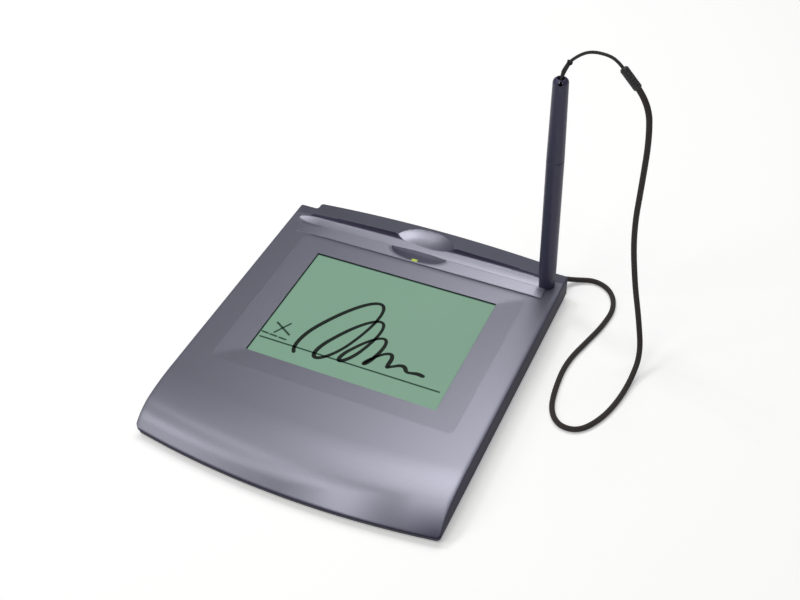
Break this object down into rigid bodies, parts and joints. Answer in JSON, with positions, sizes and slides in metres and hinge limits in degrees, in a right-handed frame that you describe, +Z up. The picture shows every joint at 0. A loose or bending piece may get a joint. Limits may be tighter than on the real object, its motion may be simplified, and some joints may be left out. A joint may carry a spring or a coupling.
{
  "type": "signature pad",
  "caption": "Flat counter-top signature pad with a recessed display, a sloping front, a pen standing in a socket at the rear corner and a cord that ties the pen to the housing.",
  "frame": {"origin": "on the desk, under the centre of the housing's footprint", "axes": "+Z up, +Y from the user's edge to the rear rail, +X to the side with the pen socket"},
  "size_m": [0.2049, 0.1893, 0.1586],
  "materials": {
    "cover": "metallic purple-grey, semi-gloss",
    "base": "black-purple, fine grain",
    "window": "clear, hard coated",
    "gasket": "black foam",
    "bezel": "thin pressed sheet",
    "panel": "reflective green display",
    "circuit": "green circuit board",
    "shield": "thin plate",
    "chip": "moulded black",
    "screw": "plated",
    "flex": "amber film",
    "led": "clear moulding",
    "light_pipe": "yellow-green, translucent",
    "socket": "plated shell",
    "well": "black-purple",
    "anchor": "moulded plug",
    "pen_body": "dark purple-grey, satin",
    "nib": "hard, worn smooth",
    "ferrite": "sintered ferrite",
    "coil": "wound enamelled wire",
    "sensor": "moulded",
    "pin": "turned",
    "foot": "soft",
    "label": "blank film",
    "cord": "braided dark brown-grey",
    "ferrule": "moulded, ribbed",
    "string": "twisted black"
  },
  "bodies": {
    "housing": {"top_cover": "cover", "base_shell": "base", "rubber_feet": "foot", "case_screws": "screw", "blank_label": "label", "display_window": "window", "window_gasket": "gasket", "display_bezel": "bezel", "display_panel": "panel", "pen_sensor_board": "circuit", "shield_plate": "shield", "main_board": "circuit", "board_chips": "chip", "board_screws": "screw", "display_flex": "flex", "sensor_flex": "flex", "status_led": "led", "light_pipe": "light_pipe", "data_socket": "socket", "pen_well": "well", "tether_anchor": "anchor", "tether_cord": "cord"},
    "pen": {"pen_grip": "pen_body", "pen_barrel": "pen_body", "pen_core": "ferrite", "pen_coil": "coil", "pen_pressure_sensor": "sensor", "pen_board": "circuit", "eyelet_pin": "pin", "cord_ferrule": "ferrule", "pen_string": "string", "string_knot": "string", "string_loop": "string"},
    "nib": {"pen_nib": "nib"}
  },
  "joints": [
    {"name": "pen_lift", "type": "slide", "parent": "housing", "child": "pen", "axis": [0, 0, 1], "range_m": [0, 0.02], "deforming": ["tether_cord"]},
    {"name": "nib_press", "type": "slide", "parent": "pen", "child": "nib", "axis": [0, 0, 1], "range_m": [0, 0.0004], "stiffness_N_per_m": 500}
  ]
}
